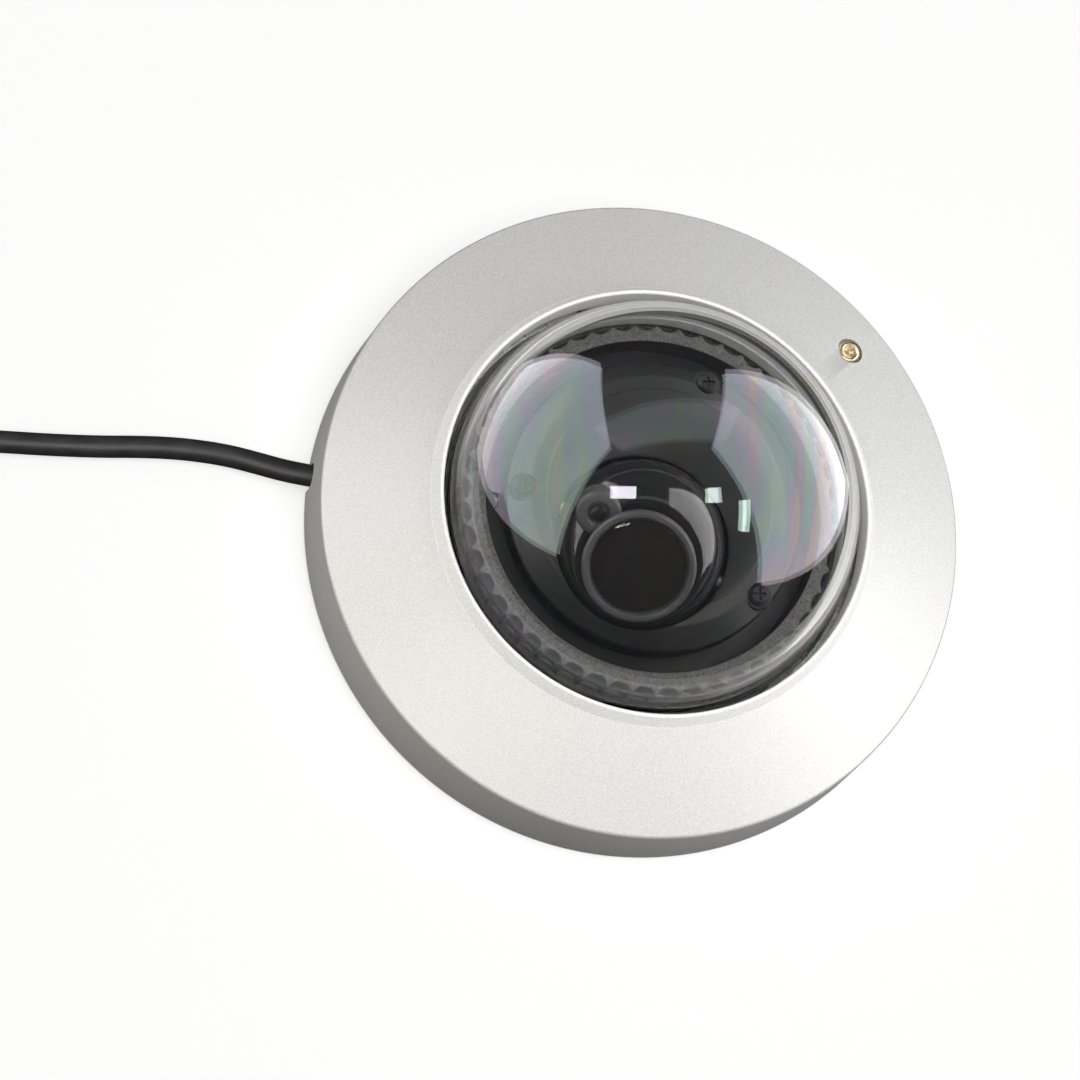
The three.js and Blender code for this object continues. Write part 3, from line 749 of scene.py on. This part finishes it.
def make_cover():
    inner = SHOULDER_R - 2.8
    cover = lathe("cover_casting", [
        (COVER_R, 0.5, 0.5), (SHOULDER_R, SHOULDER_Z, 1.0), (LIP_OUT_R + 0.1, LIP_OUT_Z, 0.5),
        (HOLE_R + 0.75, LIP_Z, 0.45), (HOLE_R, LIP_Z - 0.3, 0.35), (HOLE_R, 23.4, 0.2), (51.2, 23.4, 0.2),
        (51.2, 21.8, 0.4), (inner, face_z(inner) - 3.2, 1.5), (COVER_R - 2.8, 0.5, 0.3)],
        segments=192, steps=6)
    x, y = polar(*SCREW)
    top = face_z(SCREW[0])
    bosses = [pin("boss", 3.6, 14, top - 1.5, (x, y), bevel=0.4)]
    clamp_spots = [polar(RETAINER_SCREW_R, heading) for heading in RETAINER_HEADINGS]
    bosses += [pin("boss", 2.9, 19.6, 23.0, spot, bevel=0.2) for spot in clamp_spots]
    tongue = Matrix.Translation((*polar(61.4, SCREW[1] + 180), 0))
    tongue = tongue @ Matrix.Rotation(math.radians(SCREW[1]), 4, "Z")
    bosses.append(block("tongue", (2, 12, 12), (0, 0, 12), ROOT_FRAME @ tongue, bevel=0.5))
    for i in range(12):
        rib = ROOT_FRAME @ Matrix.Rotation(math.radians(30 * i + 12), 4, "Z")
        bosses.append(block("rib", (8, 1.4, 5), (63, 0, 16.2), rib, bevel=0.3))
    carve(cover, bosses, "UNION")
    counterbore = lathe("bore", [
        (0, top - 2.6), (3.0, top - 2.6), (3.0, top + 0.9), (3.9, top + 1.8), (3.9, 32), (0, 32)],
        at=(x, y, 0), segments=64)
    holes = [counterbore, pin("hole", 1.8, 10, 30, (x, y))]
    holes += [pin("hole", 1.25, 15, 21.9, spot) for spot in clamp_spots]
    notch = ROOT_FRAME @ Matrix.Rotation(math.radians(CABLE_AZIMUTH), 4, "Z")
    notch = notch @ Matrix.Translation((COVER_R - 1.5, 0, EXIT_Z))
    notch = notch @ Matrix.Rotation(math.radians(90), 4, "Y")
    outline = [polar(2.8, a) for a in range(90, 271, 15)] + [(20, -2.8), (20, 2.8)]
    holes.append(prism("notch", outline, -5, 5, notch))
    carve(cover, holes)
    dress(cover, SILVER, "cover", "silver_paint", "cover")
    # Painted highlight: the lip's faces, from the hole out to the face's top edge, take the lighter matt
    # copy of the paint.
    cover.data.materials.append(LIP_PAINTED_HIGHLIGHT)
    for face in cover.data.polygons:
        centre = face.center / MM
        raised = centre.z > LIP_OUT_Z - 0.05
        by_hole = HOLE_R + 0.2 < math.hypot(centre.x, centre.y) < LIP_OUT_R + 0.3
        face.material_index = 1 if raised and by_hole else 0
    return cover


def make_dome():
    inner = DOME_R - DOME_WALL
    corners = [(inner, 19.5, 0.3), (50, 19.5, 0.3), (50, 22, 0.3), (DOME_R, 22, 0.9)]
    steps = 40
    arc = [math.pi / 2 * i / steps for i in range(steps + 1)]
    corners += [(DOME_R * math.cos(a), DOME_CENTRE + DOME_R * math.sin(a)) for a in arc]
    corners += [(inner * math.cos(a), DOME_CENTRE + inner * math.sin(a)) for a in reversed(arc)]
    corners = [(0 if c[0] < 1e-6 else c[0], *c[1:]) for c in corners]
    dome = lathe("dome_shell", corners, segments=160)
    dome.visible_shadow = False
    return dress(dome, DOME_CLEAR, "cover", "clear_dome", "dome_bubble")


def make_cover_fittings():
    gasket = lathe("dome_gasket_ring", [(46.4, 22.3, 0.35), (49.6, 22.3, 0.35), (49.6, 23.1, 0.35),
                                        (46.4, 23.1, 0.35)], segments=128)
    dress(gasket, RUBBER, "cover", "rubber", "dome_gasket")
    retainer = lathe("retainer_ring", [(45.4, 16.6, 0.3), (51.6, 16.6, 0.3), (51.6, 19.2, 0.3),
                                       (45.4, 19.2, 0.3)], segments=128)
    ears = [pin("ear", 3.4, 16.6, 19.2, polar(53.6, h), bevel=0.2) for h in RETAINER_HEADINGS]
    carve(retainer, ears, "UNION")
    carve(retainer, [pin("hole", 1.5, 10, 30, polar(RETAINER_SCREW_R, h)) for h in RETAINER_HEADINGS])
    dress(retainer, STEEL, "cover", "steel", "dome_retainer")
    for i, heading in enumerate(RETAINER_HEADINGS):
        spot = polar(RETAINER_SCREW_R, heading)
        screw = small_screw(f"retainer_fastener_{i + 1}", spot, 16.4, 14.6, 21.4, 2.5, 1.05)
        dress(screw, STEEL, "cover", "steel", f"retainer_screw_{i + 1}")
    washer = [(1.8, 12.9, 0.1), (3.2, 12.9, 0.15), (3.2, 13.6, 0.15), (1.8, 13.6, 0.1)]
    keeper = lathe("keeper_washer", washer, segments=48, at=(*polar(*SCREW), 0))
    dress(keeper, STEEL, "cover", "steel", "screw_keeper")


def small_screw(name, at, seat, head_end, tip, head_r, shank_r, place=ROOT_FRAME):
    """A cross-recessed screw: head from seat to head_end, threaded shank from the seat to the tip."""
    up = 1 if tip > seat else -1
    head = seat - head_end
    corners = [(0, head_end), (head_r * 0.75, head_end)]
    corners += [(head_r, head_end + head * 0.45), (head_r, seat, 0.1)]
    threads = int(abs(tip - seat) / 0.5)
    for i in range(threads):
        z = seat + up * (0.25 + 0.5 * i)
        corners += [(shank_r, z), (shank_r * 0.8, z + up * 0.25)]
    corners += [(shank_r * 0.5, tip), (0, tip)]
    screw = lathe(name, corners, place, 40, at=(at[0], at[1], 0))
    depth = abs(head) * 1.1
    z0, z1 = sorted((head_end - up * 0.3, head_end + up * depth * 0.6))
    cross = [block("cross", (head_r * 1.15, head_r * 0.26, z1 - z0), (at[0], at[1], (z0 + z1) / 2), place,
                   bevel=0, turn=a) for a in (25, 115)]
    return carve(screw, cross, sharp=30)


def make_security_screw():
    """Yellow zinc captive screw: dished head, six-lobe recess with a centre pin."""
    x, y = polar(*SCREW)
    top = face_z(SCREW[0]) - 0.6
    corners = [(0, 5), (0.9, 5), (1.45, 5.6), (1.45, 12)]
    for i in range(10):
        z = 12 + 0.5 * i
        corners += [(1.5, z + 0.1), (1.25, z + 0.35)]
    corners += [(1.45, 17.2), (1.45, top - 1.7, 0.1), (2.6, top - 1.7, 0.15), (2.62, top - 0.55, 0.2),
                (2.1, top - 0.1, 0.3), (1.75, top, 0.15), (1.5, top - 0.2, 0.1), (0, top - 0.3)]
    screw = lathe("security_screw", corners, segments=72, at=(x, y, 0))
    lobes = []
    for i in range(72):
        angle = 360 * i / 72
        radius = 1.12 + 0.2 * math.cos(math.radians(6 * angle))
        px, py = polar(radius, angle)
        lobes.append((x + px, y + py))
    carve(screw, [prism("recess", lobes, top - 1.3, top + 1)])
    carve(screw, [pin("stud", 0.42, top - 1.5, top - 0.35, (x, y), bevel=0.12)], "UNION")
    return dress(screw, GOLD, "cover_screw", "gold_zinc", "cover_screw")


# ---- pan ring and liner -------------------------------------------------------------------------
SCALLOPS = 50
SCALLOP_STEPS = 14
SCALLOP_DEPTH = 1.3
GRIP_R = 40.4
GRIP_INNER = 36.2
GRIP_TOP = 28.8


def make_grip():
    """Hand grip with round bites all along its edge, its top edge softened."""
    samples = SCALLOPS * SCALLOP_STEPS
    bm = bmesh.new()

    def bite(i):
        across = (i % SCALLOP_STEPS) / (SCALLOP_STEPS / 2) - 1
        return SCALLOP_DEPTH * max(0.0, 1 - (across / 0.86) ** 2) ** 0.6

    def loop_at(radius, z, depth=lambda i: 0.0):
        return [bm.verts.new((*polar(radius - depth(i), 360 * i / samples), z)) for i in range(samples)]

    edge = [(GRIP_R, 20.4), (GRIP_R, GRIP_TOP - 0.6), (GRIP_R - 0.15, GRIP_TOP - 0.2),
            (GRIP_R - 0.4, GRIP_TOP)]
    inside = [(GRIP_INNER + 0.4, GRIP_TOP), (GRIP_INNER + 0.1, GRIP_TOP - 0.15),
              (GRIP_INNER, GRIP_TOP - 0.4), (GRIP_INNER, 22.2), (28.9, 22.2), (28.7, 22.0), (28.7, 20.4)]
    loops = [loop_at(radius, z, bite) for radius, z in edge]
    loops += [loop_at(radius, z) for radius, z in inside]
    for loop, following in zip(loops, loops[1:] + loops[:1]):
        for i in range(samples):
            j = (i + 1) % samples
            bm.faces.new((loop[i], loop[j], following[j], following[i]))
    grip = build("grip_ring", bm, PAN_FRAME, 40)
    dress(grip, GRIP, "pan", "grip_grey", "pan_ring")
    # Painted shade: the bitten side, the inside and the underside of the grip take the near-black liner
    # material, standing for the shadow in the deep gap under the dome.
    grip.data.materials.append(LINER_BLACK)
    for face in grip.data.polygons:
        on_top = face.normal.z > 0.5 and face.center.z > (GRIP_TOP - 1) * MM
        face.material_index = 0 if on_top else 1


LINER_SCREW_R = 28.8
LINER_SCREW_HEADINGS = (70, 180, 290)


def make_liner():
    ball_x = Vector((BALL.x, BALL.y)).length / MM
    top = 31.8
    spots = [polar(LINER_SCREW_R, heading) for heading in LINER_SCREW_HEADINGS]
    liner = lathe("liner_plate", [
        (31.2, 22.5, 0.1), (32, 22.5, 0.2), (32, 27.6, 1.2), (30.6, 28.5, 0.8), (27.4, 31.1, 1.5),
        (24.4, top - 0.3, 0.3), (24.2, top, 0.2), (0, top), (0, top - 1.2), (23, top - 1.2, 1.0),
        (26.6, top - 1.7, 1.0), (31.2, 27.6, 1.0)], PAN_FRAME, 160)
    carve(liner, [pin("seat", 2.9, 27.9, 30.4, spot, PAN_FRAME) for spot in spots], "UNION")
    collar = lathe("opening", [
        (0, 10), (18.6, 10), (18.6, top - 0.35), (19.2, top + 0.05), (19.2, 50), (0, 50)],
        PAN_FRAME, 128, at=(ball_x, 0, 0))
    cutters = [collar] + [pin("hole", 1.4, 10, 50, spot, PAN_FRAME) for spot in spots]
    cutters += [pin("sink", 2.6, 30.4, 50, spot, PAN_FRAME) for spot in spots]
    carve(liner, cutters)
    dress(liner, LINER_BLACK, "pan", "black_plastic", "liner")
    for number, spot in enumerate(spots, 1):
        screw = small_screw(f"liner_fastener_{number}", spot, 30.5, 31.6, 24.6, 2.2, 1.05, PAN_FRAME)
        dress(screw, DARK_SCREW, "pan", "steel", f"liner_screw_{number}")


# ---- eyeball turret and lens --------------------------------------------------------------------
BALL_R = 18.1
FACE_S = 12.4


def zone(radius, low, high, steps=16):
    start = math.asin(low / radius)
    end = math.asin(high / radius)
    angles = [start + (end - start) * i / steps for i in range(steps + 1)]
    return [(radius * math.cos(a), radius * math.sin(a)) for a in angles]


def make_turret():
    inner = BALL_R - 2.2
    front = zone(BALL_R, 0.15, FACE_S - 0.25)
    front += [(13.0, FACE_S, 0.3), (9.6, FACE_S, 0.2), (9.0, FACE_S - 0.4, 0.2), (9.0, FACE_S - 2)]
    front += [(c[0], c[1]) for c in reversed(zone(inner, 0.15, FACE_S - 2.2))]
    shell = lathe("turret_shell_front", front, BALL_FRAME, 128)
    rear = zone(BALL_R, -9, -0.15, 10) + list(reversed(zone(inner, -9, -0.15, 10)))
    back = lathe("turret_shell_rear", rear, BALL_FRAME, 128)
    for piece in (shell, back):
        bores = [cross_pin("bore", 1.9, -30, 30, BALL_FRAME)]
        carve(piece, bores)
    dress(back, BLACK, "turret", "black_plastic", "turret_rear")
    for name, side in (("left", 1), ("right", -1)):
        ends = sorted((side * 16.9, side * 23.5))
        dress(cross_pin(f"turret_pivot_{name}", 1.6, *ends, BALL_FRAME, 0.25), STEEL, "turret", "steel",
              f"tilt_pin_{name}")
    return [dress(shell, TURRET, "turret", "gloss_black", "turret_front")]


def cross_pin(name, radius, y0, y1, place, bevel=0.0):
    """A round bar along the local Y axis."""
    turned = place @ Matrix.Rotation(math.radians(-90), 4, "X")
    return pin(name, radius, y0, y1, (0, 0), turned, 40, bevel)


SENSOR = (13.3, 243.6)               # distance from the lens axis and heading
SENSOR_R = 4.7
SENSOR_TOP = 14.2


def make_sensor():
    x, y = polar(*SENSOR)
    pod = lathe("sensor_pod", [
        (0, 8), (SENSOR_R, 8), (SENSOR_R, SENSOR_TOP - 0.2, 0.9), (2.6, SENSOR_TOP, 0.3),
        (2.1, SENSOR_TOP - 0.5, 0.2), (1.9, SENSOR_TOP - 1.1), (0, SENSOR_TOP - 1.1)],
        BALL_FRAME, 72, at=(x, y, 0))
    ball = zone(BALL_R + 0.4, -17, FACE_S + 0.3, 30)
    cut = lathe("ball", [(0, -17)] + ball + [(0, FACE_S + 0.3)], BALL_FRAME, 96)
    carve(pod, [cut])
    dress(pod, BEZEL_GREY, "turret", "black_plastic", "light_sensor_pod")
    corners = [(0, SENSOR_TOP - 0.8), (1.6, SENSOR_TOP - 0.8), (1.6, SENSOR_TOP - 0.3, 0.2)]
    for i in range(8):
        a = math.radians(20 + 70 * i / 7)
        across = 1.55 * math.cos(a) / math.cos(math.radians(20))
        corners.append((across, SENSOR_TOP - 0.5 + 0.75 * math.sin(a)))
    corners[-1] = (0, corners[-1][1])
    bead = lathe("sensor_bead", corners, BALL_FRAME, 48, at=(x, y, 0))
    return [pod, dress(bead, LENS, "turret", "lens_glass", "light_sensor_lens")]


def make_lens():
    carriage = lathe("lens_holder", [(7.4, -2.4), (11.4, -2.4, 0.3), (11.4, 0.4, 0.3), (8.6, 0.4, 0.3),
                                     (8.6, 14.2, 0.3), (7.4, 14.2, 0.2)], BALL_FRAME, 96)
    dress(carriage, BLACK, "lens_carriage", "black_plastic", "lens_carriage")
    barrel = lathe("lens_tube", [
        (0, -1.6), (7.1, -1.6, 0.2), (7.1, 11.6, 0.2), (5.9, 13, 0.2), (5.0, 12.9, 0.1), (4.6, 11.6),
        (3.9, 11.5), (3.6, 10.2), (3.0, 10.1), (2.8, 8.8), (0, 8.6)], BALL_FRAME, 72)
    dress(barrel, BLACK, "lens_carriage", "black_plastic", "lens_barrel")
    inner_glass = lathe("inner_lens", [
        (0, 9.2), (2.6, 9.5), (3.2, 10.4), (2.4, 11.0), (1.2, 11.35), (0, 11.45)], BALL_FRAME, 48)
    dress(inner_glass, LENS, "lens_carriage", "lens_glass")
    bezel = lathe("bezel_ring", [
        (7.6, 14.5, 0.1), (9.8, 14.5, 0.2), (11.7, 15.0, 0.3), (11.7, 16.3, 0.35), (11.2, 16.8, 0.25),
        (10.4, 16.8, 0.2), (10.1, 16.35, 0.15), (9.95, 15.35), (9.6, 15.3), (7.6, 14.9)], BALL_FRAME, 128)
    dress(bezel, BEZEL_GREY, "focus_ring", "grip_grey", "focus_ring")
    glass = [(0, 13.4), (6.6, 13.7), (7.2, 15.25, 0.1), (9.6, 15.6, 0.1), (9.6, 15.9)]
    curve = 16
    for i in range(curve + 1):
        s = i / curve
        glass.append((9.5 * (1 - s), 15.95 + 1.65 * (1 - (1 - s) ** 2)))
    glass[-1] = (0, glass[-1][1])
    front = lathe("front_glass", glass, BALL_FRAME, 128)
    dress(front, LENS, "focus_ring", "lens_glass", "front_lens")
    board = block("image_card", (19, 19, 1.2), (0, 0, -4.2), BALL_FRAME, bevel=0.15)
    dress(board, BOARD, "lens_carriage", "board_green", "image_board")
    chip = block("image_chip", (9, 8, 0.8), (0, 0, -2.9), BALL_FRAME, bevel=0.12)
    dress(chip, CHIP, "lens_carriage", "chip_black", "image_sensor")
    return [bezel, front]


cover_piece = make_cover()
make_cover_fittings()
screw = make_security_screw()
dome = make_dome()
glazed = [dome, *make_turret(), *make_sensor(), *make_lens()]
make_grip()
make_liner()
light_only(window_lights(), glazed)
light_only(wall_light(), [dome])

# ---- CAD nodes shown as they are, with a better material ------------------------------------------
CARRIED = {
    "base_housing": CAST, "pan_bearing": CAST, "trunnion_left": CAST, "trunnion_right": CAST,
    "cover_seal": RUBBER, "cable_gland": RUBBER, "screw_insert": GOLD, "main_board": BOARD,
    "service_board": BOARD, "processor": CHIP, "memory_chip": CHIP, "lead_connector": CHIP,
    "reset_switch": CHIP, "card_slot": STEEL, "reset_button": BLACK, "liner_post": BLACK}
for number in (1, 2, 3):
    CARRIED[f"board_standoff_{number}"] = GOLD
    CARRIED[f"bearing_post_{number}"] = STEEL
CARRIED["service_standoff_1"] = CARRIED["service_standoff_2"] = GOLD
for node, material in CARRIED.items():
    shown = frame["nodes"][node]
    shown.data.materials.clear()
    shown.data.materials.append(material)
    edges = shown.modifiers.new("edges", "BEVEL")
    edges.width = 0.00015
    edges.segments = 2
inside_pan = ("trunnion_left", "trunnion_right", "liner_post")
base_pieces = [frame["nodes"][node] for node in CARRIED if node not in inside_pan]
light_only(cover_lights(), [cover_piece, screw, cable, *base_pieces])
